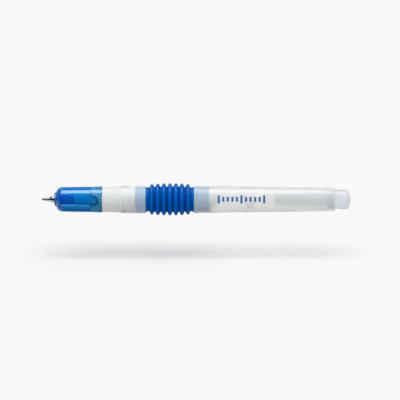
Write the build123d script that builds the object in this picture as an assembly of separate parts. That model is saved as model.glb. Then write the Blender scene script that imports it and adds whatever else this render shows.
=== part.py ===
from build123d import *
import math
import os

# Squeeze-pump correction pen, in millimetres.
# The pen lies along X with its point towards -X, and the middle of its length is the origin.
# A station is a place along the pen, counted backwards from the resting point of the needle.

# Fits and gaps
FIT = 0.02                      # fixed pieces, on the radius or between faces
RUNNING_FIT = 0.05              # sliding pieces, on the radius
SEAM = 0.1                      # line that shows between two covers
EDGE = 0.25                     # bevel on the open edges of the barrels
ROUND_SHARE = 0.95              # most of a face that a rounding may take

# Valve needle
NEEDLE_REACH = 0.9              # how far the point stands out of the nozzle
NEEDLE_POINT_D = 0.85
NEEDLE_STEM_D = 1.1
NEEDLE_HEAD_D = 2.6
NEEDLE_HEAD_LENGTH = 0.9
NEEDLE_HEAD_GAP = 0.3           # from the tip holder's end to the head
NEEDLE_PILOT_D = 1.5
NEEDLE_STROKE = 0.6             # ends where the pilot meets the spring's seat
FLOW_GAP = 0.15                 # fluid passage round the needle's stem

# Nozzle and ferrule
NOZZLE_LENGTH = 2.9             # taper in front of the ferrule
NOZZLE_FRONT_D = 1.25
NOZZLE_REAR_D = 2.05
NOZZLE_ROOT = 3.2               # tail pressed into the ferrule
ORIFICE_LENGTH = 0.6
SEAT_LENGTH = 0.35              # cone that the needle closes on
SEAT_GAP = 0.08                 # along the pen
FERRULE_D = 3.0
FERRULE_LENGTH = 2.05           # shown in front of the nose cone
FERRULE_ROOT = 4.75             # inside the nose cone and tip holder
FERRULE_LIP = 0.1               # flat ring at the front of its bevel
FERRULE_BEVEL = 0.85

# Tip holder, valve housing and what is inside them
HOLDER_D = 4.6
HOLDER_BORE_D = 1.9
HOLDER_SPIGOT = 1.8
HOLDER_FLANGE = 1.4             # length of the flange that fills the nose cone's front
GASKET = 0.4
HOUSING_D = 5.0
HOUSING_LENGTH = 8.0            # straight part, in front of the dome
HOUSING_BORE_D = 3.6
NIPPLE_D = 2.6
NIPPLE_BORE_D = 1.4
NIPPLE_LENGTH = 4.2
SPRING_WIRE = 0.3
SPRING_D = 2.3                  # at the middle of the wire
SPRING_TURNS = 4
SPRING_SEAT = 1.2
SPRING_SEAT_BORE_D = 1.2
SEAT_NOTCHES = 3
SEAT_NOTCH_D = 1.0

# Nose cone
NOSE_LENGTH = 21.5
NOSE_BOSS_D = 6.3
NOSE_BOSS_LENGTH = 0.7
NOSE_FRONT_D = 11.1
NOSE_WAIST_D = 11.5
NOSE_RIM_D = 11.9
NOSE_FLARE = 4.6                # rear stretch that widens to the rim
NOSE_LEAN = 0.5                 # slope of the face behind the boss
NOSE_SHOULDER = 2.85            # rounding of that face
NOSE_BOSS_EDGE = 0.3
NOSE_FACE = 1.15                # wall in front of the tip holder
NOSE_FRONT_WALL = 1.7           # solid front, socket of the tip holder included
NOSE_BORE_D = 8.4
NOSE_BORE_REAR_D = 8.8
NOSE_BORE_ROUND = 1.3
NOSE_SOCKET_D = 10.0            # for the collar's spigot
NOSE_SOCKET = 4.9

# Collar
COLLAR_LENGTH = 9.2
COLLAR_FRONT_D = 11.4
COLLAR_REAR_D = 11.75
COLLAR_EDGE = 0.2
RING_D = 12.2
RING_LENGTH = 1.3
FLUTES = 40
FLUTE_D = 1.6
FLUTE_DEPTH = 0.07
FLUTE_MARGIN = 0.5              # plain band before and after the flutes
SPIGOT_LENGTH = 2.0             # front spigot, pressed into the nose cone
FORK_LENGTH = 5.8
FORK_D = 9.4
FORK_WALL = 2.0
FORK_BEVEL = 1.5
FORK_GAP = 0.1                  # between the fork and the valve housing
BULKHEAD = 2.6
BULKHEAD_REACH = 1.14           # how far the bulkhead stands into the nose cone
BULKHEAD_GAP = 0.35             # from the dome of the valve housing
TAIL_LENGTH = 5.9               # rear spigot
TAIL_WALL = 1.0
NIPPLE_RING = 0.8               # thickness of the nipple's ring seal

# Barrels
FRONT_BARREL_LENGTH = 10.45
FRONT_BARREL_D = 12.5
REAR_BARREL_LENGTH = 63.9
REAR_BARREL_FRONT_D = 12.35
REAR_BARREL_END_D = 10.6
BARREL_WALL = 0.55              # round the bellows' necks, where it is thinnest
REAR_WALL = 0.9                 # round the reservoir
REAR_ROUND = 0.6

# Bellows
RIBS = 7
RIB_PITCH = 2.73
CREST_D = 14.6                  # middle rib
CREST_CROWN = 0.8               # how much less the end ribs measure
CREST_WIDTH = 0.6
VALLEY_D = 11.4
VALLEY_CROWN = 0.8              # how much less the end valleys measure
VALLEY_WIDTH = 0.3
LIP_RISE = 0.145                # how far a lip stands out over its neck, to meet the barrel's edge
LIP_LENGTH = 1.36               # from the lip to the first valley
BELLOWS_WALL = 1.0              # on the radius
REST_FLAT = 0.5                 # depth of the flat under the ribs, on which the pen lies
NECK_WALL = 0.9
FRONT_NECK = 4.35
REAR_NECK = 6.8

# Guide tube, bush and stop
GUIDE_SHARE = 0.53              # of the necks' bore, left to the tube
GUIDE_WALL = 0.6
GUIDE_SEAT = 4.0                # depth in the collar
GUIDE_STEP = 0.4                # rise of the tube's thicker front, which stops the stroke
GUIDE_FLANGE = 3.5
PORT_D = 1.8
PORT_ROWS = 3
PORT_PITCH = 4.0
PUMP_STROKE = 5.0
STROKE_GAP = 0.2                # left at the end of the stroke
BUSH_INSET = 0.4                # from the rear barrel's front edge
BUSH_FLANGE = 1.4
STOP_GAP = 0.1
STOP_LENGTH = 1.2
STOP_WALL = 0.98
GUIDE_END = 0.6                 # tube behind the stop ring

# End plug and mixing ball
PLUG_D = 8.8
PLUG_LENGTH = 7.01
PLUG_DOME = 1.9
PLUG_SPIGOT_D = 8.2
PLUG_SPIGOT = 3.4
PLUG_SPIGOT_EDGE = 0.4
STEM_D = 5.2
STEM_LENGTH = 24.1
PLUG_RING = 1.0                 # thickness of the plug's ring seal
BALL_D = 4.0
BALL_GAP = 0.2                  # under the ball
QUARTER_HANDLE = 0.5523         # handle of a curve that follows a quarter of an ellipse

# Stations, from the point to the tail
nozzle_front = NEEDLE_REACH
ferrule_front = nozzle_front + NOZZLE_LENGTH
nose_front = ferrule_front + FERRULE_LENGTH
nose_rear = nose_front + NOSE_LENGTH
collar_front = nose_rear + SEAM
collar_rear = collar_front + COLLAR_LENGTH
front_barrel_front = collar_rear + SEAM
front_barrel_rear = front_barrel_front + FRONT_BARREL_LENGTH
lip_front = front_barrel_rear + FIT
lip_rear = lip_front + 2 * LIP_LENGTH + RIBS * RIB_PITCH
rear_barrel_front = lip_rear + FIT
rear_barrel_rear = rear_barrel_front + REAR_BARREL_LENGTH
plug_shoulder = rear_barrel_rear + FIT
overall_length = plug_shoulder + PLUG_LENGTH

nozzle_rear = ferrule_front + NOZZLE_ROOT
orifice_end = nozzle_front + ORIFICE_LENGTH
ferrule_rear = nose_front + FERRULE_ROOT
holder_front = nose_front + NOSE_FACE + FIT
nose_bore_front = nose_front + NOSE_FRONT_WALL
bulkhead_front = collar_front - BULKHEAD_REACH
bulkhead_rear = bulkhead_front + BULKHEAD
dome_rear = bulkhead_front - BULKHEAD_GAP
dome_front = dome_rear - HOUSING_D / 2
nipple_rear = dome_rear + NIPPLE_LENGTH
housing_front = dome_front - HOUSING_LENGTH
holder_rear = housing_front - GASKET - 2 * FIT
holder_end = holder_rear + HOLDER_SPIGOT
head_front = holder_end + NEEDLE_HEAD_GAP
head_rear = head_front + NEEDLE_HEAD_LENGTH
spring_seat_front = dome_front - FIT - SPRING_SEAT
guide_front = bulkhead_rear + FIT
tail_rear = collar_rear + TAIL_LENGTH
front_neck_end = front_barrel_rear - FRONT_NECK
rear_neck_end = rear_barrel_front + REAR_NECK
bush_front = rear_barrel_front + BUSH_INSET
bush_flange_front = rear_neck_end + FIT
bush_rear = bush_flange_front + BUSH_FLANGE
stop_front = bush_rear + STOP_GAP
stop_rear = stop_front + STOP_LENGTH
guide_rear = stop_rear + GUIDE_END
guide_step_rear = bush_front - PUMP_STROKE - STROKE_GAP
plug_front = plug_shoulder - PLUG_SPIGOT
stem_front = plug_front - STEM_LENGTH

# Radii that two pieces share
orifice_r = NEEDLE_POINT_D / 2 + RUNNING_FIT
nozzle_bore_r = NEEDLE_STEM_D / 2 + FLOW_GAP
nozzle_rear_r = NOZZLE_REAR_D / 2
ferrule_r = FERRULE_D / 2
holder_r = HOLDER_D / 2
housing_r = HOUSING_D / 2
housing_bore_r = HOUSING_BORE_D / 2
nipple_r = NIPPLE_D / 2
nose_bore_r = NOSE_BORE_D / 2
nose_socket_r = NOSE_SOCKET_D / 2
neck_r = min(FRONT_BARREL_D, REAR_BARREL_FRONT_D) / 2 - BARREL_WALL - FIT
neck_bore_r = neck_r - NECK_WALL
lip_r = neck_r + LIP_RISE
guide_r = GUIDE_SHARE * neck_bore_r
guide_step_r = guide_r + GUIDE_STEP
barrel_bore_r = neck_r + FIT
plug_socket_r = PLUG_SPIGOT_D / 2 + FIT


def turned(*corners):
    """Solid turned about the pen's axis; a corner is (station, radius), with any rounding third."""
    face = make_face(Polyline(*[corner[:2] for corner in corners], close=True)).face()
    for station, radius, *rounding in corners:
        if rounding:
            corner = face.vertices().sort_by_distance((station, radius))[0]
            face = face.fillet_2d(rounding[0], [corner])
    return revolve(face, Axis.X)


def tube(front, rear, bore_r, outer_r):
    """Plain tube or washer between two stations."""
    return turned((front, bore_r), (front, outer_r), (rear, outer_r), (rear, bore_r))


def ring_seal(station, middle_r, thickness):
    """Ring seal of round section."""
    return revolve(Pos(station, middle_r) * Circle(thickness / 2), Axis.X)


def around(count):
    """Evenly spaced turns about the pen's axis."""
    return [Rot(360 * index / count, 0, 0) for index in range(count)]


def valve_needle():
    """Needle with a rounded point, a cone that shuts the nozzle, and a head for the spring."""
    point_r = NEEDLE_POINT_D / 2
    stem_r = NEEDLE_STEM_D / 2
    slope = (nozzle_bore_r - orifice_r) / SEAT_LENGTH
    cone_front = orifice_end + SEAT_GAP - (orifice_r - point_r) / slope
    cone_rear = orifice_end + SEAT_GAP + (stem_r - orifice_r) / slope
    pilot_rear = spring_seat_front - NEEDLE_STROKE - RUNNING_FIT
    return turned(
        (0, 0),
        (0, point_r, ROUND_SHARE * point_r),
        (cone_front, point_r),
        (cone_rear, stem_r),
        (head_front, stem_r),
        (head_front, NEEDLE_HEAD_D / 2),
        (head_rear, NEEDLE_HEAD_D / 2),
        (head_rear, NEEDLE_PILOT_D / 2),
        (pilot_rear, NEEDLE_PILOT_D / 2),
        (pilot_rear, 0),
    )


def nozzle():
    """Tapered metal tube with the orifice and the needle's seat."""
    return turned(
        (nozzle_front, orifice_r),
        (nozzle_front, NOZZLE_FRONT_D / 2),
        (ferrule_front, nozzle_rear_r),
        (nozzle_rear, nozzle_rear_r),
        (nozzle_rear, nozzle_bore_r),
        (orifice_end + SEAT_LENGTH, nozzle_bore_r),
        (orifice_end, orifice_r),
    )


def ferrule():
    """Metal sleeve round the nozzle, bevelled in front and pressed into the tip holder."""
    socket_r = nozzle_rear_r + FIT
    socket_rear = nozzle_rear + FIT
    return turned(
        (ferrule_front, socket_r),
        (ferrule_front, socket_r + FERRULE_LIP),
        (ferrule_front + FERRULE_BEVEL, ferrule_r),
        (ferrule_rear, ferrule_r),
        (ferrule_rear, nozzle_bore_r),
        (socket_rear, nozzle_bore_r),
        (socket_rear, socket_r),
    )


def tip_holder():
    """Sleeve that carries the ferrule, with a round flange in front and a spigot for the valve housing."""
    socket_r = ferrule_r + FIT
    socket_rear = ferrule_rear + FIT
    spigot_r = housing_bore_r - FIT
    flange_front = nose_bore_front + FIT
    flange_rear = flange_front + HOLDER_FLANGE
    return turned(
        (holder_front, socket_r),
        (holder_front, holder_r),
        (flange_front, holder_r),
        (flange_front, nose_bore_r - FIT, NOSE_BORE_ROUND),
        (flange_rear, nose_bore_r - FIT),
        (flange_rear, holder_r),
        (holder_rear, holder_r),
        (holder_rear, spigot_r),
        (holder_end, spigot_r),
        (holder_end, HOLDER_BORE_D / 2),
        (socket_rear, HOLDER_BORE_D / 2),
        (socket_rear, socket_r),
    )


def holder_seal():
    """Flat gasket between the tip holder and the valve housing."""
    front = holder_rear + FIT
    return tube(front, front + GASKET, housing_bore_r, holder_r)


def valve_housing():
    """Tube for the spring, closed by a dome whose nipple enters the collar."""
    emerge = math.degrees(math.asin(nipple_r / housing_r))
    front = Polyline((housing_front, housing_bore_r), (housing_front, housing_r), (dome_front, housing_r))
    dome = CenterArc((dome_front, 0), housing_r, 90, emerge - 90)
    rear = Polyline(
        dome @ 1,
        (nipple_rear, nipple_r),
        (nipple_rear, NIPPLE_BORE_D / 2),
        (dome_front, NIPPLE_BORE_D / 2),
        (dome_front, housing_bore_r),
        (housing_front, housing_bore_r),
    )
    return revolve(make_face([*front.edges(), *dome.edges(), *rear.edges()]), Axis.X)


def spring_point(turn):
    """Place and direction of the spring's wire after a number of turns."""
    front = head_rear + SPRING_WIRE / 2 + RUNNING_FIT
    rear = spring_seat_front - SPRING_WIRE / 2 - RUNNING_FIT
    rise = (rear - front) / SPRING_TURNS
    angle = 2 * math.pi * turn
    radius = SPRING_D / 2
    place = Vector(front + rise * turn, radius * math.cos(angle), radius * math.sin(angle))
    way = Vector(rise / (2 * math.pi), -radius * math.sin(angle), radius * math.cos(angle))
    return place, way.normalized()


def biarc(start, start_way, end, end_way):
    """Two tangent arcs from one place and direction to another."""
    chord = end - start
    ways = start_way + end_way
    spread = 2 * (1 - start_way.dot(end_way))
    reach = math.sqrt(chord.dot(ways) ** 2 + spread * chord.dot(chord)) - chord.dot(ways)
    middle = (start + end + (start_way - end_way) * (reach / spread)) * 0.5
    first = TangentArc(start, middle, tangent=start_way)
    return [first.edge(), TangentArc(middle, end, tangent=first % 1).edge()]


def spring_gap():
    """Least gap between the turns of the spring, measured on points."""
    steps = 48
    places = [spring_point(step / steps)[0] for step in range(SPRING_TURNS * steps + 1)]
    pairs = [
        (place - other).length
        for index, place in enumerate(places)
        for other in places[index + steps // 2:]
    ]
    return min(pairs) - SPRING_WIRE


def valve_spring():
    """Compression spring: one wire, wound by quarter turns."""
    quarters = [spring_point(quarter / 4) for quarter in range(4 * SPRING_TURNS + 1)]
    edges = []
    for (start, start_way), (end, end_way) in zip(quarters, quarters[1:]):
        edges += biarc(start, start_way, end, end_way)
    place, way = quarters[0]
    return sweep(Plane(place, z_dir=way) * Circle(SPRING_WIRE / 2), path=Wire(edges))


def spring_seat():
    """Disc behind the spring, notched at its rim for the fluid."""
    rim_r = housing_bore_r - FIT
    rear = spring_seat_front + SPRING_SEAT
    disc = tube(spring_seat_front, rear, SPRING_SEAT_BORE_D / 2, rim_r)
    notch = Pos(spring_seat_front + SPRING_SEAT / 2, 0, rim_r) * Rot(0, 90, 0)
    cutter = notch * Cylinder(SEAT_NOTCH_D / 2, 2 * SPRING_SEAT)
    return disc - [turn * cutter for turn in around(SEAT_NOTCHES)]


def nipple_seal():
    """Ring seal round the nipple, behind the collar's bulkhead."""
    return ring_seal(bulkhead_rear - NIPPLE_RING / 2 - FIT, nipple_r + FIT + NIPPLE_RING / 2, NIPPLE_RING)


def nose_cone():
    """Clear cover: a boss, a round shoulder and a body that flares to its rim."""
    boss_r = NOSE_BOSS_D / 2
    front_r = NOSE_FRONT_D / 2
    rise = front_r - boss_r
    slope = math.hypot(rise, NOSE_LEAN)
    widest_round = slope * rise / (slope - NOSE_LEAN)
    shoulder = nose_front + NOSE_BOSS_LENGTH
    socket_front = nose_rear - NOSE_SOCKET
    return turned(
        (nose_front, ferrule_r + FIT),
        (nose_front, boss_r, NOSE_BOSS_EDGE),
        (shoulder, boss_r),
        (shoulder + NOSE_LEAN, front_r, min(NOSE_SHOULDER, ROUND_SHARE * widest_round)),
        (nose_rear - NOSE_FLARE, NOSE_WAIST_D / 2),
        (nose_rear, NOSE_RIM_D / 2),
        (nose_rear, nose_socket_r),
        (socket_front, nose_socket_r),
        (socket_front, NOSE_BORE_REAR_D / 2),
        (nose_bore_front, nose_bore_r, NOSE_BORE_ROUND),
        (nose_bore_front, holder_r + FIT),
        (holder_front - FIT, holder_r + FIT),
        (holder_front - FIT, ferrule_r + FIT),
    )


def collar_flutes():
    """Round cutters for the collar's grip, laid along its taper."""
    front_r = COLLAR_FRONT_D / 2
    rear_r = COLLAR_REAR_D / 2
    taper_length = COLLAR_LENGTH - RING_LENGTH
    lean = math.degrees(math.atan((rear_r - front_r) / taper_length))
    middle = Pos(collar_front + taper_length / 2, 0, (front_r + rear_r) / 2 + FLUTE_D / 2 - FLUTE_DEPTH)
    cutter = middle * Rot(0, 90 - lean, 0) * Cylinder(FLUTE_D / 2, taper_length - 2 * FLUTE_MARGIN)
    return [turn * cutter for turn in around(FLUTES)]


def fork_slot():
    """Slot through the fork, round at its end, that leaves the valve housing in view."""
    half = housing_r + FORK_GAP
    slot = Pos(dome_front - FORK_LENGTH / 2, 0, 0) * Box(FORK_LENGTH, NOSE_SOCKET_D, 2 * half)
    return slot + Pos(dome_front, 0, 0) * Rot(90, 0, 0) * Cylinder(half, NOSE_SOCKET_D)


def collar():
    """Fluted ring with a fork and spigot in front, a bulkhead for the nipple and a rear spigot."""
    spigot_r = nose_socket_r - FIT
    spigot_front = collar_front - SPIGOT_LENGTH
    fork_r = FORK_D / 2
    fork_front = collar_front - FORK_LENGTH
    ring_front = collar_rear - RING_LENGTH
    tail_r = barrel_bore_r - FIT
    recess_front = bulkhead_rear - NIPPLE_RING - 2 * FIT
    recess_r = nipple_r + NIPPLE_RING + 2 * FIT
    guide_seat_rear = guide_front + GUIDE_SEAT
    body = turned(
        (fork_front, fork_r - FORK_WALL),
        (fork_front + FORK_BEVEL, fork_r),
        (spigot_front, fork_r),
        (spigot_front, spigot_r),
        (collar_front, spigot_r),
        (collar_front, COLLAR_FRONT_D / 2, COLLAR_EDGE),
        (ring_front, COLLAR_REAR_D / 2),
        (ring_front, RING_D / 2, COLLAR_EDGE),
        (collar_rear, RING_D / 2, COLLAR_EDGE),
        (collar_rear, tail_r),
        (tail_rear, tail_r),
        (tail_rear, tail_r - TAIL_WALL),
        (guide_seat_rear, tail_r - TAIL_WALL),
        (guide_seat_rear, guide_r + FIT),
        (bulkhead_rear, guide_r + FIT),
        (bulkhead_rear, recess_r),
        (recess_front, recess_r),
        (recess_front, nipple_r + FIT),
        (bulkhead_front, nipple_r + FIT),
        (bulkhead_front, fork_r - FORK_WALL),
    )
    return body - fork_slot() - collar_flutes()


def front_barrel():
    """Frosted sleeve over the collar's tail and the bellows' front neck."""
    outer_r = FRONT_BARREL_D / 2
    return turned(
        (front_barrel_front, barrel_bore_r),
        (front_barrel_front, outer_r - EDGE),
        (front_barrel_front + EDGE, outer_r),
        (front_barrel_rear - EDGE, outer_r),
        (front_barrel_rear, outer_r - EDGE),
        (front_barrel_rear, barrel_bore_r),
    )


def bellows_rings():
    """Station and radius of each circle of the ribs: a foot, two at the crest and a foot."""
    first_foot = lip_front + LIP_LENGTH
    middle_rib = (RIBS - 1) / 2
    rings = [(lip_front, lip_r)]
    for rib in range(RIBS):
        centre = first_foot + (rib + 0.5) * RIB_PITCH
        crest_r = (CREST_D - CREST_CROWN * ((rib - middle_rib) / middle_rib) ** 2) / 2
        for side in (-1, 1):
            out = (rib + side / 2 - middle_rib) / (RIBS / 2)
            foot_r = (VALLEY_D - VALLEY_CROWN * out ** 4) / 2
            foot = (centre + side * (RIB_PITCH - VALLEY_WIDTH) / 2, foot_r)
            crest = (centre + side * CREST_WIDTH / 2, crest_r)
            rings += [foot, crest] if side < 0 else [crest, foot]
    return rings + [(lip_rear, lip_r)]


def ribbed(inset):
    """Straight-sided ribs through the bellows' circles, each drawn in by an inset."""
    facing = Rot(0, 90, 0)
    circles = [Pos(station, 0, 0) * facing * Circle(radius - inset) for station, radius in bellows_rings()]
    return loft(circles, ruled=True)


def bellows():
    """Ribbed rubber pump with a neck at each end and a flat under its ribs to lie on."""
    front_neck = tube(front_neck_end, lip_front, neck_bore_r, neck_r)
    rear_neck = tube(lip_rear, rear_neck_end, neck_bore_r, neck_r)
    middle = (lip_front + lip_rear) / 2
    table = Pos(middle, 0, -CREST_D / 2) * Box(lip_rear - lip_front, CREST_D, 2 * REST_FLAT)
    return ribbed(0) - ribbed(BELLOWS_WALL) - table + front_neck + rear_neck


def guide_ports():
    """Cross holes that let the fluid reach the bellows from the guide tube."""
    middle = (lip_front + guide_step_rear) / 2
    ports = []
    for row in range(PORT_ROWS):
        station = middle + (row - (PORT_ROWS - 1) / 2) * PORT_PITCH
        ports.append(Pos(station, 0, 0) * Cylinder(PORT_D / 2, 4 * guide_step_r))
    return ports


def guide_tube():
    """Feed tube: a seat in the collar, a flange in the front neck, a stop step and a sliding end."""
    bore_r = guide_r - GUIDE_WALL
    flange_r = neck_bore_r - FIT
    flange_rear = lip_front - FIT
    flange_front = flange_rear - GUIDE_FLANGE
    body = turned(
        (guide_front, bore_r),
        (guide_front, guide_r),
        (flange_front, guide_r),
        (flange_front, flange_r),
        (flange_rear, flange_r),
        (flange_rear, guide_step_r),
        (guide_step_rear, guide_step_r),
        (guide_step_rear, guide_r),
        (guide_rear, guide_r),
        (guide_rear, bore_r),
    )
    return body - guide_ports()


def guide_bush():
    """Bush in the rear neck that slides on the guide tube; its flange backs the neck."""
    bore_r = guide_r + RUNNING_FIT
    return turned(
        (bush_front, bore_r),
        (bush_front, neck_bore_r - FIT),
        (bush_flange_front, neck_bore_r - FIT),
        (bush_flange_front, neck_r),
        (bush_rear, neck_r),
        (bush_rear, bore_r),
    )


def stop_ring():
    """Ring pressed on the end of the guide tube, behind the bush."""
    bore_r = guide_r + FIT
    return tube(stop_front, stop_rear, bore_r, bore_r + STOP_WALL)


def rear_bore_r(station):
    """Radius of the reservoir's tapering bore."""
    run = (station - rear_barrel_front) / REAR_BARREL_LENGTH
    outer_d = REAR_BARREL_FRONT_D + (REAR_BARREL_END_D - REAR_BARREL_FRONT_D) * run
    return outer_d / 2 - REAR_WALL


def rear_barrel():
    """Frosted reservoir that tapers to the tail."""
    front_r = REAR_BARREL_FRONT_D / 2
    neck_socket_rear = bush_rear + FIT
    plug_socket_front = plug_front - FIT
    return turned(
        (rear_barrel_front, barrel_bore_r),
        (rear_barrel_front, front_r - EDGE),
        (rear_barrel_front + EDGE, front_r),
        (rear_barrel_rear, REAR_BARREL_END_D / 2, REAR_ROUND),
        (rear_barrel_rear, plug_socket_r),
        (plug_socket_front, plug_socket_r),
        (plug_socket_front, rear_bore_r(plug_socket_front)),
        (neck_socket_rear, rear_bore_r(neck_socket_rear)),
        (neck_socket_rear, barrel_bore_r),
    )


def mixing_ball():
    """Steel ball, loose between the guide tube and the stem, lying near the floor of the bore."""
    station = (guide_rear + PUMP_STROKE + stem_front) / 2
    drop = rear_bore_r(station) - BALL_GAP - BALL_D / 2
    return Pos(station, 0, -drop) * Sphere(BALL_D / 2)


def end_plug():
    """Tail plug: a domed head, a grooved spigot and a long stem with a round end."""
    head_r = PLUG_D / 2
    spigot_r = PLUG_SPIGOT_D / 2
    stem_r = STEM_D / 2
    dome_base = overall_length - PLUG_DOME
    groove_front = plug_front + (PLUG_SPIGOT - PLUG_RING) / 2 - FIT
    groove_rear = groove_front + PLUG_RING + 2 * FIT
    groove_r = spigot_r - PLUG_RING
    stem_end = CenterArc((stem_front + stem_r, 0), stem_r, 180, -90)
    middle = Polyline(
        stem_end @ 1,
        (plug_front, stem_r),
        (plug_front, spigot_r - PLUG_SPIGOT_EDGE),
        (plug_front + PLUG_SPIGOT_EDGE, spigot_r),
        (groove_front, spigot_r),
        (groove_front, groove_r),
        (groove_rear, groove_r),
        (groove_rear, spigot_r),
        (plug_shoulder, spigot_r),
        (plug_shoulder, head_r),
        (dome_base, head_r),
    )
    dome = Bezier(
        (dome_base, head_r),
        (dome_base + QUARTER_HANDLE * PLUG_DOME, head_r),
        (overall_length, QUARTER_HANDLE * head_r),
        (overall_length, 0),
    )
    axis = Line((overall_length, 0), (stem_front, 0))
    outline = [*stem_end.edges(), *middle.edges(), *dome.edges(), *axis.edges()]
    return revolve(make_face(outline), Axis.X)


def plug_seal():
    """Ring seal in the end plug's groove."""
    return ring_seal(plug_front + PLUG_SPIGOT / 2, (PLUG_SPIGOT_D - PLUG_RING) / 2, PLUG_RING)


PIECES = [
    valve_needle,
    nozzle,
    ferrule,
    tip_holder,
    holder_seal,
    valve_housing,
    valve_spring,
    spring_seat,
    nipple_seal,
    nose_cone,
    collar,
    front_barrel,
    bellows,
    guide_tube,
    guide_bush,
    stop_ring,
    rear_barrel,
    mixing_ball,
    end_plug,
    plug_seal,
]

os.makedirs("parts", exist_ok=True)
for piece in PIECES:
    export_step(Pos(-overall_length / 2, 0, 0) * piece(), f"parts/{piece.__name__}.step")
print(f"Overall length {overall_length:.2f} mm, least gap between the spring's turns {spring_gap():.2f} mm")
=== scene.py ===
"""Looks of a squeeze-pump correction pen, modelled and finished around its frame.

The pen lies along X with its point towards -X. Sizes are in metres.
"""
import math

import bmesh
import bpy
from bpy.props import FloatProperty, FloatVectorProperty, IntProperty, PointerProperty
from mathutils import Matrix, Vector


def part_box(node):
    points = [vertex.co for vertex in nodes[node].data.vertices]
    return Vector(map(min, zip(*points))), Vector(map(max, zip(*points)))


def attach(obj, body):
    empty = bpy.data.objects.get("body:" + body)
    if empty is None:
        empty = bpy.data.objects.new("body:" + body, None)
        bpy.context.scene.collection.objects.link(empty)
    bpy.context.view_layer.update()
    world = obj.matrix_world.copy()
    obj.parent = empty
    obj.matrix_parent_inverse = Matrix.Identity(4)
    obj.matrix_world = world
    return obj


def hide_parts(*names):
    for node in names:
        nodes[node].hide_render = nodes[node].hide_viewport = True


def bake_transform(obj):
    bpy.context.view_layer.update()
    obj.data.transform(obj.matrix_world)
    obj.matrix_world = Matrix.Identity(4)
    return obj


bl_info = {
    "name": "Correction Pen",
    "version": (1, 0, 0),
    "blender": (4, 5, 0),
    "location": "View3D > Sidebar > Pen",
    "description": "Models the soft pieces of a correction pen and finishes all of its surfaces",
    "category": "Object",
}

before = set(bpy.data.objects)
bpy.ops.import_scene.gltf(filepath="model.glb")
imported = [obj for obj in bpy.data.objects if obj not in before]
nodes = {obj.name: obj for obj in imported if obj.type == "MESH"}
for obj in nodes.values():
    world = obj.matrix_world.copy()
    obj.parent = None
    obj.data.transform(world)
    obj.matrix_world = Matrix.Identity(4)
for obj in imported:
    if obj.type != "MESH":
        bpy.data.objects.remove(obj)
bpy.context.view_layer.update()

# Places that come from the frame
nose_front, nose_rear = (corner.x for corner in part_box("nose_cone"))
lip_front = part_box("front_barrel")[1].x
lip_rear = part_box("rear_barrel")[0].x
neck_front, neck_rear = (corner.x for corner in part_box("bellows"))
crest_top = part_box("bellows")[1].z
neck_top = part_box("guide_bush")[1].z
coil_front, coil_rear = (corner.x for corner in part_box("valve_spring"))
coil_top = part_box("valve_spring")[1].z

# Distance under which two points are the same
SAME_POINT = 1e-6

# Angle up to which edges are shaded smooth
SMOOTH_ANGLE = math.radians(40.0)


def number(name, description, default, least):
    """Property that holds a whole number."""
    return IntProperty(name=name, description=description, default=default, min=least)


def amount(name, description, default):
    """Property that holds a strength, from none upwards."""
    return FloatProperty(name=name, description=description, default=default, min=0.0)


def length(name, description, default):
    """Property that holds a length."""
    return FloatProperty(name=name, description=description, default=default, unit="LENGTH", precision=5)


def colour(name, description, default):
    """Property that holds a linear colour."""
    return FloatVectorProperty(
        name=name, description=description, default=default, subtype="COLOR", size=3, min=0.0, max=1.0
    )


def share(name, description, default):
    """Property that holds a share from none to all."""
    return FloatProperty(
        name=name, description=description, default=default, subtype="FACTOR", min=0.0, max=1.0
    )


def turn(name, description, default):
    """Property that holds an angle, given here in degrees."""
    return FloatProperty(
        name=name, description=description, default=math.radians(default), subtype="ANGLE", unit="ROTATION"
    )


class PenBellows(bpy.types.PropertyGroup):
    """Sizes of the rubber pump."""

    ribs: number("Ribs", "Number of ribs", 7, 2)
    segments: number("Segments", "Faces around the pump", 128, 16)
    lip: length("Lip", "From a barrel's edge to the first valley", 0.00136)
    lip_r: length("Lip Radius", "Radius where the pump leaves a barrel", 0.00575)
    crest_drop: length("Crest Drop", "How much lower the end ribs stand than the middle one", 0.0004)
    crest_width: length("Crest Width", "Flat of a crest before it is rounded", 0.0008)
    crest_round: length("Crest Rounding", "Cut back from each edge of a crest", 0.00039)
    crest_steps: number("Crest Steps", "Faces across the rounding of a crest's edge", 6, 1)
    valley_r: length("Valley Radius", "Radius of the middle valleys", 0.0057)
    valley_drop: length("Valley Drop", "How much lower the end valleys lie", 0.0004)
    valley_width: length("Valley Width", "Flat of a valley before it is rounded", 0.0003)
    valley_round: length("Valley Rounding", "Cut back from each edge of a valley", 0.00012)
    valley_steps: number("Valley Steps", "Faces across the rounding of a valley's edge", 2, 1)
    wall: length("Wall", "Thickness of the ribs on the radius", 0.001)
    neck_r: length("Neck Radius", "Radius of the necks inside the barrels", neck_top)
    neck_wall: length("Neck Wall", "Thickness of the necks", 0.0009)
    smooth: turn("Smooth Angle", "Edges flatter than this are shaded smooth", 50.0)


class PenCoil(bpy.types.PropertyGroup):
    """Sizes of the valve's spring."""

    turns: number("Turns", "Turns of wire", 4, 1)
    steps: number("Steps", "Faces along a turn", 48, 8)
    sides: number("Sides", "Faces around the wire", 12, 6)
    wire: length("Wire", "Diameter of the wire", 0.0003)


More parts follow.
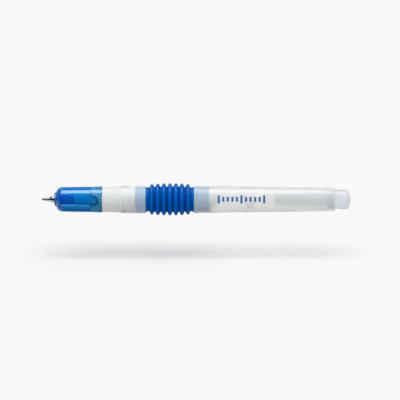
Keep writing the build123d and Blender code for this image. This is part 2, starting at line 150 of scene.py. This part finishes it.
class PenMarks(bpy.types.PropertyGroup):
    """Sizes of the printed level marks."""

    count: number("Marks", "Number of marks", 11, 2)
    long_every: number("Long Every", "Marks from one long mark to the next", 5, 1)
    rows: number("Rows", "Faces up the height of a mark", 10, 2)
    front: length("Front", "From the rear barrel's front edge to the first mark", 0.0112)
    spread: length("Spread", "From the first mark to the last", 0.0205)
    short: length("Short Mark", "Height of a short mark", 0.0022)
    tall: length("Long Mark", "Height of a long mark", 0.0037)
    line: length("Line", "Width of a mark along the pen", 0.0009)
    ink: length("Ink", "Thickness of the print", 0.00002)
    facing: turn("Facing", "How far the print faces upwards", 12.0)


class PenFinishes(bpy.types.PropertyGroup):
    """Colours of the pen's materials."""

    nose: colour("Nose", "Light that the clear nose cone lets pass", (0.0, 0.70, 0.965))
    nose_depth: amount("Nose Depth", "How fast the nose takes light, for a metre", 1150.0)
    holder: colour("Holder", "Tip holder seen through the nose", (0.0, 0.32, 0.86))
    housing: colour("Housing", "Valve housing seen through the nose", (0.0, 0.72, 1.0))
    sleeve: colour("Sleeve", "Milky plastic of the front barrel", (0.955, 0.965, 0.965))
    frost: colour("Frost", "Milky plastic of the rear barrel", (0.968, 0.973, 0.970))
    plug: colour("Plug", "Milky plastic of the end plug", (0.88, 0.91, 0.955))
    collar: colour("Collar", "White plastic of the collar", (0.87, 0.89, 0.89))
    rubber: colour("Rubber", "Blue rubber of the pump", (0.0, 0.134, 0.64))
    gleam: colour("Gleam", "Tint of the highlights on the rubber", (0.10, 0.95, 1.0))
    neck: colour("Neck", "Paler rubber of the thin necks", (0.31, 0.52, 0.78))
    steel: colour("Steel", "Polished tip", (0.52, 0.53, 0.54))
    needle: colour("Needle", "Coated wire of the needle", (0.012, 0.03, 0.12))
    natural: colour("Natural", "Uncoloured inner pieces", (0.96, 0.97, 0.96))
    silicone: colour("Silicone", "Seals", (0.86, 0.88, 0.91))
    ink: colour("Ink", "Printed marks", (0.0, 0.12, 0.42))


class PenStage(bpy.types.PropertyGroup):
    """Camera, floor and light."""

    distance: length("Camera Distance", "From the camera to the pen", 1.0)
    view_width: length("View Width", "Width of the picture at the pen", 0.1816)
    elevation: turn("Camera Elevation", "How far the camera looks down", 12.0)
    aim_x: length("Aim", "Middle of the picture, from the middle of the pen", 0.0018)
    aim_z: length("Aim Height", "Middle of the picture, from the pen's axis", -0.0003)
    floor_drop: length("Floor", "From the pen's axis down to the floor", 0.0266)
    floor_size: length("Floor Size", "Length of the floor's sides", 80.0)
    ground: colour("Ground", "Colour of the floor and the background", (0.935, 0.945, 0.939))
    floor_share: share("Floor Share", "Share of the floor's brightness that takes the shadow", 0.82)
    fill: share("Fill", "Even light from all around", 0.46)
    sun: amount("Top Light", "Strength of the top light", 1.50)
    sun_size: turn("Top Light Size", "Angle that the top light fills", 60.0)
    sun_tilt: turn("Top Light Tilt", "Lean of the top light towards the camera", 18.0)
    strip_height: length("Strip Height", "From the pen up to the strip light", 0.10)
    strip_back: length("Strip Back", "From above the pen back to the middle of the strip light", -0.006)
    strip_front: length("Strip Front", "From the pen's middle to the strip light's front end", -0.0703)
    strip_length: length("Strip Length", "Length of the strip light along the pen", 0.19)
    strip_width: length("Strip Width", "Width of the strip light", 0.06)
    strip_power: amount("Strip Power", "Power of the strip light", 0.25)
    tip_length: length("Tip Card Length", "Length of the card in front of the strip light", 0.05)
    tip_back: length("Tip Card Back", "From above the pen back to the middle of that card", 0.02)
    tip_width: length("Tip Card Width", "Width of that card", 0.20)
    tip_power: amount("Tip Card Power", "Power of that card", 0.041)
    dark: share("Dark Room", "What gloss mirrors of the room around", 0.03)
    edge: share("Edge", "How straight back gloss starts to show the ground again", 0.96)
    dim: share("Dim Ground", "How bright the clear nose shows the ground that is under it", 0.35)
    sky: share("Dark Sky", "How dark clear plastic shows what is overhead", 0.62)
    sky_from: share("Sky From", "How steeply upwards that dark sky starts", 0.35)
    sky_to: share("Sky To", "How steeply upwards it is at its darkest", 0.75)
    far_from: length("Far From", "From under the nose to where the ground brightens", 0.02)
    far_to: length("Far To", "From under the nose to where the ground is all bright", 0.08)
    mirror_from: length("Mirror From", "From the pen back to where the mirrored ground brightens", 0.05)
    mirror_to: length("Mirror To", "From the pen back to where that ground is all bright", 0.11)
    tip_shift: length("Tip Shift", "How much nearer that ground starts under the metal tip", 0.13)
    tip_from: length("Tip From", "From the nose's front ahead to where that shift is whole", 0.002)
    tip_to: length("Tip To", "From the nose's front back to where that shift ends", 0.004)
    bounce: share("Floor Bounce", "Share of the floor's light that comes back to the pen", 0.85)


def rgba(colour_value, gain=1.0):
    """Colour for a socket, with a gain on its brightness."""
    return (*[min(1.0, gain * channel) for channel in colour_value], 1.0)


def grey(level):
    """Grey for a socket."""
    return rgba([level] * 3)


class Value:
    """Shader socket whose arithmetic adds Math nodes."""

    def __init__(self, finish, socket):
        self.finish = finish
        self.socket = socket

    def math(self, operation, first, second):
        """Result of a new Math node."""
        return self.finish.node("ShaderNodeMath", {"operation": operation}, {0: first, 1: second})

    def __add__(self, other):
        return self.math("ADD", self, other)

    def __radd__(self, other):
        return self.math("ADD", other, self)

    def __sub__(self, other):
        return self.math("SUBTRACT", self, other)

    def __rsub__(self, other):
        return self.math("SUBTRACT", other, self)

    def __mul__(self, other):
        return self.math("MULTIPLY", self, other)

    def __rmul__(self, other):
        return self.math("MULTIPLY", other, self)


class Finish:
    """Node tree of a material or of the world."""

    def __init__(self, owner):
        owner.use_nodes = True
        self.owner = owner
        self.tree = owner.node_tree
        self.tree.nodes.clear()

    def node(self, kind, settings=None, inputs=None, output=0):
        """Adds a node, sets it up, feeds its sockets and returns one of its outputs, if it has any."""
        made = self.tree.nodes.new(kind)
        for name, setting in (settings or {}).items():
            setattr(made, name, setting)
        for name, value in (inputs or {}).items():
            if isinstance(value, Value):
                self.tree.links.new(value.socket, made.inputs[name])
            else:
                made.inputs[name].default_value = value
        return Value(self, made.outputs[output]) if made.outputs else None

    def place(self):
        """Coordinates on the pen, in metres."""
        return self.node("ShaderNodeTexCoord", output="Object")

    def stretched(self, scale):
        """Coordinates with a scale of their own along each axis."""
        inputs = {"Vector": self.place(), "Scale": scale}
        return self.node("ShaderNodeMapping", {"vector_type": "TEXTURE"}, inputs)

    def noise(self, scale, detail=3.0, vector=None):
        """Cloudy value about one half; scale counts clouds in a metre."""
        inputs = {"Vector": vector or self.place(), "Scale": scale, "Detail": detail}
        return self.node("ShaderNodeTexNoise", {}, inputs, "Fac")

    def ramp(self, value, low, high):
        """Value eased from 0 at low to 1 at high."""
        inputs = {"Value": value, "From Min": low, "From Max": high}
        return self.node("ShaderNodeMapRange", {"interpolation_type": "SMOOTHSTEP"}, inputs)

    def mixed(self, factor, first, second):
        """Colour between two colours, whose sockets come after those for numbers and vectors."""
        inputs = {0: factor, 6: first, 7: second}
        return self.node("ShaderNodeMix", {"data_type": "RGBA"}, inputs, 2)

    def varied(self, mask, tint, low, high):
        """Tint whose brightness a mask moves between two gains."""
        return self.mixed(mask, rgba(tint, low), rgba(tint, high))

    def bump(self, height, depth, strength=1.0):
        """Surface normal for a height from 0 to 1 that stands depth metres tall."""
        return self.node("ShaderNodeBump", {}, {"Strength": strength, "Distance": depth, "Height": height})

    def surface(self, inputs, inside=None):
        """Principled surface with the inputs given, and a volume if there is one."""
        outputs = {"Surface": self.node("ShaderNodeBsdfPrincipled", {}, inputs)}
        if inside:
            outputs["Volume"] = inside
        self.node("ShaderNodeOutputMaterial", {}, outputs)
        return self.owner


def new_finish(name):
    """Empty node tree of a new material."""
    return Finish(bpy.data.materials.new(name))


def paint(piece, material):
    """Gives a piece one material all over."""
    piece.data.materials.clear()
    piece.data.materials.append(material)


# Materials

def polished_steel(finishes):
    """Turned and polished steel with fine tool marks around the axis."""
    finish = new_finish("polished_steel")
    marks = finish.noise(24000.0, 2.0, finish.stretched((1.0, 40.0, 40.0)))
    smears = finish.noise(900.0)
    tone = finish.varied(smears, finishes.steel, 0.88, 1.08)
    return finish.surface({
        "Base Color": tone,
        "Metallic": 1.0,
        "Roughness": 0.13 + 0.12 * marks + 0.05 * smears,
        "Normal": finish.bump(marks, 0.000004, 0.4),
    })


def coated_wire(finishes):
    """Dark coated wire of the needle."""
    finish = new_finish("coated_wire")
    grain = finish.noise(9000.0)
    tone = finish.varied(grain, finishes.needle, 0.8, 1.3)
    return finish.surface({
        "Base Color": tone,
        "Roughness": 0.25 + 0.15 * grain,
        "Coat Weight": 0.4,
        "Normal": finish.bump(grain, 0.000003),
    })


def clear_blue(finishes):
    """Clear tinted plastic, faintly wavy from its mould."""
    finish = new_finish("clear_blue")
    flow = finish.noise(140.0, 2.0, finish.stretched((4.0, 1.0, 1.0)))
    scuffs = finish.noise(5200.0, 4.0)
    body = {"Color": rgba(finishes.nose), "Density": finishes.nose_depth}
    return finish.surface({
        "Base Color": finish.mixed(flow, grey(0.97), grey(1.0)),
        "Roughness": 0.02 + 0.05 * scuffs,
        "IOR": 1.50,
        "Transmission Weight": 1.0,
        "Normal": finish.bump(flow, 0.00002, 0.03),
    }, finish.node("ShaderNodeVolumeAbsorption", {}, body))


def moulded(name, tint, roughness, gloss=0.5):
    """Opaque moulded plastic with flow lines and a fine skin."""
    finish = new_finish(name)
    flow = finish.noise(260.0, 3.0, finish.stretched((5.0, 1.0, 1.0)))
    skin = finish.noise(7000.0, 2.0)
    tone = finish.varied(flow, tint, 0.94, 1.05)
    return finish.surface({
        "Base Color": tone,
        "Roughness": roughness - 0.05 + 0.10 * skin,
        "Specular IOR Level": gloss,
        "Normal": finish.bump(skin, 0.000004),
    })


def frosted(name, tint, clear, haze, skin):
    """Milky half-clear plastic under a smooth outer skin."""
    finish = new_finish(name)
    cloud = finish.noise(190.0, 3.0, finish.stretched((4.0, 1.0, 1.0)))
    grain = finish.noise(6500.0, 2.0)
    tone = finish.varied(cloud, tint, 0.985, 1.01)
    return finish.surface({
        "Base Color": tone,
        "Roughness": haze - 0.04 + 0.08 * grain,
        "IOR": 1.10,
        "Transmission Weight": clear,
        "Coat Weight": skin,
        "Coat Roughness": 0.12,
        "Coat IOR": 2.0,
        "Normal": finish.bump(grain, 0.000003),
    })


def pump_rubber(finishes, sizes):
    """Blue rubber with a satin skin, with painted shade darkening the valleys, and paler where the necks
    are thin.
    """
    finish = new_finish("pump_rubber")
    place = finish.place()
    across = finish.node("ShaderNodeVectorMath", {"operation": "MULTIPLY"}, {0: place, 1: (0, 1, 1)})
    radius = finish.node("ShaderNodeVectorMath", {"operation": "LENGTH"}, {0: across}, "Value")
    lip_part = finish.node("ShaderNodeAttribute", {"attribute_name": "lip"}, output="Fac")
    neck_part = finish.node("ShaderNodeAttribute", {"attribute_name": "neck"}, output="Fac")
    # Share of the crest tone: it rises from the valley radius to the crests, and the lips count as crest.
    # The rest is painted valley shade, and the same share smooths the roughness.
    shown = finish.ramp(radius, sizes.valley_r, crest_top) + lip_part
    cloud = finish.noise(700.0)
    grain = finish.noise(9000.0, 2.0)
    crest = finish.varied(cloud, finishes.rubber, 0.92, 1.08)
    # Painted shade: the valleys get a darker copy of the rubber's colour
    valley = finish.varied(cloud, finishes.rubber, 0.56, 0.66)
    body = finish.mixed(shown, valley, crest)
    neck = finish.varied(cloud, finishes.neck, 0.96, 1.04)
    return finish.surface({
        "Base Color": finish.mixed(neck_part, body, neck),
        "Roughness": 0.60 - 0.24 * shown + 0.12 * grain,
        "Specular IOR Level": 0.25,
        "Specular Tint": rgba(finishes.gleam),
        "Normal": finish.bump(grain, 0.000006),
    })


def coated_ball(finishes):
    """Steel ball under a patchy white film of dried fluid."""
    finish = new_finish("coated_ball")
    patches = finish.noise(620.0, 4.0)
    film = finish.ramp(patches, 0.14, 0.26)
    tone = finish.mixed(film, rgba(finishes.steel), rgba(finishes.natural, 1.08))
    return finish.surface({
        "Base Color": tone,
        "Metallic": 1.0 - film,
        "Roughness": 0.22 + 0.40 * film,
        "Normal": finish.bump(patches, 0.00004, 0.5),
    })


def printed_ink(finishes):
    """Screen-printed ink, a little thin in places."""
    finish = new_finish("printed_ink")
    thin = finish.noise(11000.0, 2.0)
    tone = finish.varied(thin, finishes.ink, 0.9, 1.35)
    return finish.surface({
        "Base Color": tone,
        "Roughness": 0.35 + 0.10 * thin,
        "Normal": finish.bump(thin, 0.000002),
    })


# Modelling

def new_piece(name):
    """Names the mesh just added and brings its object to the origin, unturned."""
    piece = bpy.context.object
    piece.name = name
    piece.data.name = name
    bpy.ops.object.transform_apply(location=True, rotation=True, scale=True)
    return piece


def begin_edit():
    """Opens the active piece with all of it selected."""
    bpy.ops.object.mode_set(mode="EDIT")
    bpy.ops.mesh.select_all(action="SELECT")


def end_edit(angle=SMOOTH_ANGLE):
    """Points the faces outwards, leaves edit mode and shades the piece smooth but for its sharp edges."""
    bpy.ops.mesh.select_all(action="SELECT")
    bpy.ops.mesh.normals_make_consistent(inside=False)
    bpy.ops.object.mode_set(mode="OBJECT")
    bpy.ops.object.shade_smooth_by_angle(angle=angle)


def apply_modifiers(piece):
    """Applies the modifiers in their order."""
    for name in [modifier.name for modifier in piece.modifiers]:
        bpy.ops.object.modifier_apply(modifier=name)


def bellows_profile(sizes):
    """Rings along the outside of the ribs, as station and radius, then those of crests and of valleys."""
    pitch = (lip_rear - lip_front - 2 * sizes.lip) / sizes.ribs
    middle = (sizes.ribs - 1) / 2
    rings = [(lip_front, sizes.lip_r)]
    crests = []
    valleys = []
    for rib in range(sizes.ribs):
        centre = lip_front + sizes.lip + (rib + 0.5) * pitch
        crest_r = crest_top - sizes.crest_drop * ((rib - middle) / middle) ** 2
        for side in (-1, 1):
            out = (rib + side / 2 - middle) / (sizes.ribs / 2)
            valley_r = sizes.valley_r - sizes.valley_drop * out ** 4
            valley = (centre + side * (pitch - sizes.valley_width) / 2, valley_r)
            crest = (centre + side * sizes.crest_width / 2, crest_r)
            rings += [valley, crest] if side < 0 else [crest, valley]
            crests.append(crest)
            valleys.append(valley)
    return rings + [(lip_rear, sizes.lip_r)], crests, valleys


def turned_shell(name, profile, segments):
    """Closed ring of walls, extruded from one circle through a profile that comes back to its start."""
    station, radius = profile[0]
    bpy.ops.object.select_all(action="DESELECT")
    bpy.ops.mesh.primitive_circle_add(
        vertices=segments, radius=radius, location=(station, 0, 0), rotation=(0, math.pi / 2, 0)
    )
    piece = new_piece(name)
    begin_edit()
    for (old_station, old_radius), (station, radius) in zip(profile, profile[1:]):
        bpy.ops.mesh.extrude_region_move(TRANSFORM_OT_translate={"value": (station - old_station, 0, 0)})
        growth = radius / old_radius
        bpy.ops.transform.resize(value=(1, growth, growth), center_override=(station, 0, 0))
    bpy.ops.mesh.select_all(action="DESELECT")
    bpy.ops.mesh.select_non_manifold()
    bpy.ops.mesh.bridge_edge_loops()
    return piece


def round_rings(piece, rings, offset, segments):
    """Bevels the edges that run around the pen at the rings given."""
    mesh = bmesh.from_edit_mesh(piece.data)
    for edge in mesh.edges:
        ends = [(vert.co.x, math.hypot(vert.co.y, vert.co.z)) for vert in edge.verts]
        edge.select_set(any(
            all(abs(x - station) < SAME_POINT and abs(r - radius) < SAME_POINT for x, r in ends)
            for station, radius in rings
        ))
    bmesh.update_edit_mesh(piece.data)
    bpy.ops.mesh.bevel(offset=offset, segments=segments, profile=0.5, affect="EDGES")


def mark_ends(piece, sizes):
    """Keeps on the mesh which points are neck and how near the others are to a lip."""
    neck = piece.data.attributes.new("neck", "FLOAT", "POINT")
    lip = piece.data.attributes.new("lip", "FLOAT", "POINT")
    for index, vert in enumerate(piece.data.vertices):
        inward = min(vert.co.x - lip_front, lip_rear - vert.co.x)
        radius = math.hypot(vert.co.y, vert.co.z)
        neck.data[index].value = float(inward < SAME_POINT and radius < sizes.neck_r + SAME_POINT)
        lip.data[index].value = min(1.0, max(0.0, 1.0 - inward / sizes.lip))


class PEN_OT_bellows(bpy.types.Operator):
    """Model the ribbed rubber pump between the two barrels"""

    bl_idname = "pen.bellows"
    bl_label = "Bellows"
    bl_options = {"REGISTER", "UNDO"}

    def execute(self, context):
        sizes = context.scene.pen_bellows
        outside, crests, valleys = bellows_profile(sizes)
        neck_bore = sizes.neck_r - sizes.neck_wall
        inside = [(station, radius - sizes.wall) for station, radius in reversed(outside)]
        profile = [(neck_front, sizes.neck_r), (lip_front, sizes.neck_r), *outside]
        profile += [(lip_rear, sizes.neck_r), (neck_rear, sizes.neck_r), (neck_rear, neck_bore)]
        profile += [(lip_rear, neck_bore), *inside, (lip_front, neck_bore), (neck_front, neck_bore)]
        piece = turned_shell("bellows_skin", profile, sizes.segments)
        round_rings(piece, crests, sizes.crest_round, sizes.crest_steps)
        round_rings(piece, valleys, sizes.valley_round, sizes.valley_steps)
        end_edit(sizes.smooth)
        mark_ends(piece, sizes)
        paint(piece, pump_rubber(context.scene.pen_finishes, sizes))
        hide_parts("bellows")
        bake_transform(piece)
        return {"FINISHED"}


class PEN_OT_valve_coil(bpy.types.Operator):
    """Wind the spring that closes the needle"""

    bl_idname = "pen.valve_coil"
    bl_label = "Valve Coil"
    bl_options = {"REGISTER", "UNDO"}

    def execute(self, context):
        sizes = context.scene.pen_coil
        wire_r = sizes.wire / 2
        start = (coil_front + wire_r, 0, coil_top - wire_r)
        bpy.ops.object.select_all(action="DESELECT")
        bpy.ops.mesh.primitive_circle_add(
            vertices=sizes.sides, radius=wire_r, location=start, rotation=(math.pi / 2, 0, 0)
        )
        piece = new_piece("valve_coil")
        screw = piece.modifiers.new("Winding", "SCREW")
        screw.axis = "X"
        screw.iterations = sizes.turns
        screw.screw_offset = (coil_rear - coil_front - sizes.wire) / sizes.turns
        screw.steps = sizes.steps
        screw.render_steps = sizes.steps
        apply_modifiers(piece)
        begin_edit()
        bpy.ops.mesh.fill_holes(sides=0)
        end_edit()
        paint(piece, polished_steel(context.scene.pen_finishes))
        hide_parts("valve_spring")
        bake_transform(piece)
        return {"FINISHED"}


class PEN_OT_level_marks(bpy.types.Operator):
    """Print a plain scale of level marks on the rear barrel"""

    bl_idname = "pen.level_marks"
    bl_label = "Level Marks"
    bl_options = {"REGISTER", "UNDO"}

    def execute(self, context):
        sizes = context.scene.pen_marks
        pitch = sizes.spread / (sizes.count - 1)
        marks = []

        # The marks start clear of the pen and are then laid onto the barrel
        stand_off = 2 * crest_top
        for index in range(sizes.count):
            is_long = index % sizes.long_every == 0
            height = sizes.tall if is_long else sizes.short
            bpy.ops.object.select_all(action="DESELECT")
            bpy.ops.mesh.primitive_grid_add(x_subdivisions=2, y_subdivisions=sizes.rows, size=1.0)
            mark = bpy.context.object
            mark.scale = (sizes.line, height, 1.0)
            mark.rotation_euler = (math.pi / 2, 0, 0)
            mark.location = (lip_rear + sizes.front + index * pitch, -stand_off, 0)
            bpy.ops.object.transform_apply(location=True, rotation=True, scale=True)
            marks.append(mark)
        for mark in marks:
            mark.select_set(True)
        bpy.ops.object.join()
        piece = new_piece("level_marks")
        wrap = piece.modifiers.new("Wrap", "SHRINKWRAP")
        wrap.target = nodes["rear_barrel"]
        wrap.wrap_method = "PROJECT"
        wrap.use_project_y = True
        wrap.use_positive_direction = True
        wrap.offset = sizes.ink
        ink = piece.modifiers.new("Ink", "SOLIDIFY")
        ink.thickness = sizes.ink
        apply_modifiers(piece)
        piece.rotation_euler.x = -sizes.facing
        bpy.ops.object.transform_apply(rotation=True)
        begin_edit()
        end_edit()
        paint(piece, printed_ink(context.scene.pen_finishes))
        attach(piece, "rear")
        return {"FINISHED"}


class PEN_OT_tip(bpy.types.Operator):
    """Finish the needle, the nozzle and the ferrule"""

    bl_idname = "pen.tip"
    bl_label = "Tip"
    bl_options = {"REGISTER", "UNDO"}

    def execute(self, context):
        finishes = context.scene.pen_finishes
        steel = polished_steel(finishes)
        for name in ("nozzle", "ferrule"):
            paint(nodes[name], steel)
        paint(nodes["valve_needle"], coated_wire(finishes))
        return {"FINISHED"}


class PEN_OT_nose(bpy.types.Operator):
    """Finish the clear nose cone and the valve that shows through it"""

    bl_idname = "pen.nose"
    bl_label = "Nose"
    bl_options = {"REGISTER", "UNDO"}

    def execute(self, context):
        finishes = context.scene.pen_finishes
        paint(nodes["nose_cone"], clear_blue(finishes))
        paint(nodes["tip_holder"], moulded("holder_blue", finishes.holder, roughness=0.40, gloss=0.08))
        housing = moulded("housing_blue", finishes.housing, roughness=0.40, gloss=0.08)
        paint(nodes["valve_housing"], housing)
        return {"FINISHED"}


class PEN_OT_collar(bpy.types.Operator):
    """Finish the white fluted collar"""

    bl_idname = "pen.collar"
    bl_label = "Collar"
    bl_options = {"REGISTER", "UNDO"}

    def execute(self, context):
        finishes = context.scene.pen_finishes
        paint(nodes["collar"], moulded("collar_white", finishes.collar, roughness=0.42, gloss=0.15))
        return {"FINISHED"}


class PEN_OT_barrels(bpy.types.Operator):
    """Finish the frosted barrels and the end plug"""

    bl_idname = "pen.barrels"
    bl_label = "Barrels"
    bl_options = {"REGISTER", "UNDO"}

    def execute(self, context):
        finishes = context.scene.pen_finishes
        sleeve = frosted("frosted_sleeve", finishes.sleeve, clear=0.86, haze=0.59, skin=0.10)
        paint(nodes["front_barrel"], sleeve)
        barrel = frosted("frosted_barrel", finishes.frost, clear=0.80, haze=0.45, skin=0.18)
        paint(nodes["rear_barrel"], barrel)
        plug = frosted("frosted_plug", finishes.plug, clear=0.62, haze=0.40, skin=0.12)
        paint(nodes["end_plug"], plug)
        return {"FINISHED"}


class PEN_OT_inside(bpy.types.Operator):
    """Finish the guide, the seals and the mixing ball inside"""

    bl_idname = "pen.inside"
    bl_label = "Inside"
    bl_options = {"REGISTER", "UNDO"}

    def execute(self, context):
        finishes = context.scene.pen_finishes
        natural = moulded("natural_plastic", finishes.natural, roughness=0.45)
        for name in ("guide_tube", "guide_bush", "stop_ring", "spring_seat"):
            paint(nodes[name], natural)
        silicone = moulded("silicone", finishes.silicone, roughness=0.50)
        for name in ("holder_seal", "nipple_seal", "plug_seal"):
            paint(nodes[name], silicone)
        paint(nodes["mixing_ball"], coated_ball(finishes))
        return {"FINISHED"}


# Stage

def straight_rays(finish):
    """1 for rays that no matt surface has scattered since the camera."""
    return 1.0 - finish.ramp(finish.node("ShaderNodeLightPath", output="Diffuse Depth"), 0.0, 1.0)


def through_rays(finish):
    """1 for rays of the camera that have passed through a clear surface."""
    return finish.node("ShaderNodeLightPath", output="Is Transmission Ray") * straight_rays(finish)


def mirror_rays(finish):
    """1 for rays of the camera that a glossy surface mirrors, 0 for those that pass a clear one."""
    through = finish.node("ShaderNodeLightPath", output="Is Transmission Ray")
    glossy = finish.node("ShaderNodeLightPath", output="Is Glossy Ray")
    return glossy * (1.0 - through) * straight_rays(finish)


def seen_rays(finish):
    """1 for rays of the camera and of what mirrors or lets through, 0 for light that falls on a surface."""
    camera = finish.node("ShaderNodeLightPath", output="Is Camera Ray")
    return camera + mirror_rays(finish) + through_rays(finish)


def floor_finish(stage):
    """Pale floor that takes the shadow and shows as bright as the background around it."""
    finish = new_finish("pale_floor")
    ground = stage.ground
    light = stage.fill + stage.sun * math.cos(stage.sun_tilt) / math.pi
    albedo = [stage.floor_share * channel / light for channel in ground]
    glow = [(1 - stage.floor_share) * channel for channel in ground]
    paper = finish.node("ShaderNodeBsdfDiffuse", {}, {"Color": rgba(albedo)})
    shine = finish.node("ShaderNodeEmission", {}, {"Color": rgba(glow), "Strength": 1.0})
    lit = finish.node("ShaderNodeAddShader", {}, {0: paper, 1: shine})
    dim = finish.node("ShaderNodeBsdfDiffuse", {}, {"Color": rgba(albedo, stage.bounce)})
    pale = finish.node("ShaderNodeMixShader", {}, {0: seen_rays(finish), 1: dim, 2: lit})

    # Gloss shows a dark room in front of the pen, and the clear nose a dim ground under it
    place = finish.node("ShaderNodeNewGeometry", output="Position")
    along = finish.node("ShaderNodeSeparateXYZ", {}, {"Vector": place}, "X")
    back = finish.node("ShaderNodeSeparateXYZ", {}, {"Vector": place}, "Y")
    ahead = 1.0 - finish.ramp(along, nose_front - stage.tip_from, nose_front + stage.tip_to)
    front = 1.0 - finish.ramp(back + stage.tip_shift * ahead, stage.mirror_from, stage.mirror_to)
    aside = along - (nose_front + nose_rear) / 2
    under = 1.0 - finish.ramp(aside * aside + back * back, stage.far_from ** 2, stage.far_to ** 2)
    room = finish.mixed(mirror_rays(finish), rgba(ground, stage.dim), grey(stage.dark))
    card = finish.node("ShaderNodeEmission", {}, {"Color": room, "Strength": 1.0})
    hidden = mirror_rays(finish) * front + through_rays(finish) * under
    shader = finish.node("ShaderNodeMixShader", {}, {0: hidden, 1: pale, 2: card})
    finish.node("ShaderNodeOutputMaterial", {}, {"Surface": shader})
    return finish.owner


def studio_world(world, stage):
    """Even fill light, with the ground's colour where it is seen and a dark room around in mirrors."""
    finish = Finish(world)
    toward = finish.node("ShaderNodeTexCoord", output="Generated")
    back = finish.node("ShaderNodeSeparateXYZ", {}, {"Vector": toward}, "Y")
    up = finish.node("ShaderNodeSeparateXYZ", {}, {"Vector": toward}, "Z")
    sky = stage.sky * through_rays(finish) * finish.ramp(up, stage.sky_from, stage.sky_to)
    hidden = mirror_rays(finish) * (1.0 - finish.ramp(back, stage.edge, 1.0)) + sky
    view = finish.mixed(hidden, rgba(stage.ground), grey(stage.dark))
    even = finish.node("ShaderNodeBackground", {}, {"Color": grey(1.0), "Strength": stage.fill})
    shown = finish.node("ShaderNodeBackground", {}, {"Color": view, "Strength": 1.0})
    shader = finish.node("ShaderNodeMixShader", {}, {0: seen_rays(finish), 1: even, 2: shown})
    finish.node("ShaderNodeOutputWorld", {}, {"Surface": shader})


def overhead_card(name, stage, reach, back, width, power):
    """Bright card above the pen that only gloss shows, reaching along it from the strip light's front."""
    place = (stage.strip_front + reach / 2, back, stage.strip_height)
    bpy.ops.object.light_add(type="AREA", location=place)
    card = bpy.context.object
    card.name = name
    card.data.shape = "RECTANGLE"
    card.data.size = abs(reach)
    card.data.size_y = width
    card.data.energy = power
    card.visible_camera = False
    card.visible_diffuse = False
    card.visible_transmission = False


class PEN_OT_stage(bpy.types.Operator):
    """Set up the floor, the light and the camera"""

    bl_idname = "pen.stage"
    bl_label = "Stage"
    bl_options = {"REGISTER", "UNDO"}

    def execute(self, context):
        scene = context.scene
        stage = scene.pen_stage
        bpy.ops.object.select_all(action="DESELECT")
        bpy.ops.mesh.primitive_plane_add(size=stage.floor_size, location=(0, 0, -stage.floor_drop))
        floor = context.object
        floor.name = "floor"
        paint(floor, floor_finish(stage))

        scene.view_settings.view_transform = "Standard"
        if scene.world is None:
            scene.world = bpy.data.worlds.new("Studio")
        studio_world(scene.world, stage)

        bpy.ops.object.light_add(type="SUN", rotation=(stage.sun_tilt, 0, 0))
        sun = context.object
        sun.name = "top_light"
        sun.data.energy = stage.sun
        sun.data.angle = stage.sun_size
        sun.visible_glossy = False

        overhead_card(
            "strip_light", stage, stage.strip_length, stage.strip_back, stage.strip_width, stage.strip_power
        )
        overhead_card(
            "tip_card", stage, -stage.tip_length, stage.tip_back, stage.tip_width, stage.tip_power
        )

        aim = (stage.aim_x, 0, stage.aim_z)
        back = (0, -math.cos(stage.elevation), math.sin(stage.elevation))
        place = [point + stage.distance * step for point, step in zip(aim, back)]
        bpy.ops.object.camera_add(location=place, rotation=(math.pi / 2 - stage.elevation, 0, 0))
        camera = context.object
        camera.name = "photo_camera"
        camera.data.sensor_width = 36.0
        camera.data.lens = camera.data.sensor_width * stage.distance / stage.view_width
        camera.data.clip_start = 0.01
        camera.data.clip_end = stage.floor_size
        scene.camera = camera
        return {"FINISHED"}


GROUPS = {
    "pen_bellows": PenBellows,
    "pen_coil": PenCoil,
    "pen_marks": PenMarks,
    "pen_finishes": PenFinishes,
    "pen_stage": PenStage,
}

OPERATORS = (
    PEN_OT_bellows,
    PEN_OT_valve_coil,
    PEN_OT_level_marks,
    PEN_OT_tip,
    PEN_OT_nose,
    PEN_OT_collar,
    PEN_OT_barrels,
    PEN_OT_inside,
    PEN_OT_stage,
)


class PEN_PT_sidebar(bpy.types.Panel):
    """Sidebar of the pen's operators and settings"""

    bl_idname = "PEN_PT_sidebar"
    bl_label = "Correction Pen"
    bl_space_type = "VIEW_3D"
    bl_region_type = "UI"
    bl_category = "Pen"

    def draw(self, context):
        column = self.layout.column()
        for operator in OPERATORS:
            column.operator(operator.bl_idname)
        for name, group in GROUPS.items():
            settings = getattr(context.scene, name)
            box = column.box()
            box.label(text=group.__name__)
            for key in group.__annotations__:
                box.prop(settings, key)


CLASSES = (*GROUPS.values(), *OPERATORS, PEN_PT_sidebar)


def register():
    """Registers the classes and puts the settings on the scene."""
    for cls in CLASSES:
        bpy.utils.register_class(cls)
    for name, group in GROUPS.items():
        setattr(bpy.types.Scene, name, PointerProperty(type=group))


def unregister():
    """Takes the settings off the scene and the classes out again."""
    for name in GROUPS:
        delattr(bpy.types.Scene, name)
    for cls in reversed(CLASSES):
        bpy.utils.unregister_class(cls)


def main():
    """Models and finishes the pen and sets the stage."""
    register()
    bpy.ops.pen.bellows()
    bpy.ops.pen.valve_coil()
    bpy.ops.pen.level_marks()
    bpy.ops.pen.tip()
    bpy.ops.pen.nose()
    bpy.ops.pen.collar()
    bpy.ops.pen.barrels()
    bpy.ops.pen.inside()
    bpy.ops.pen.stage()


if __name__ == "__main__":
    main()
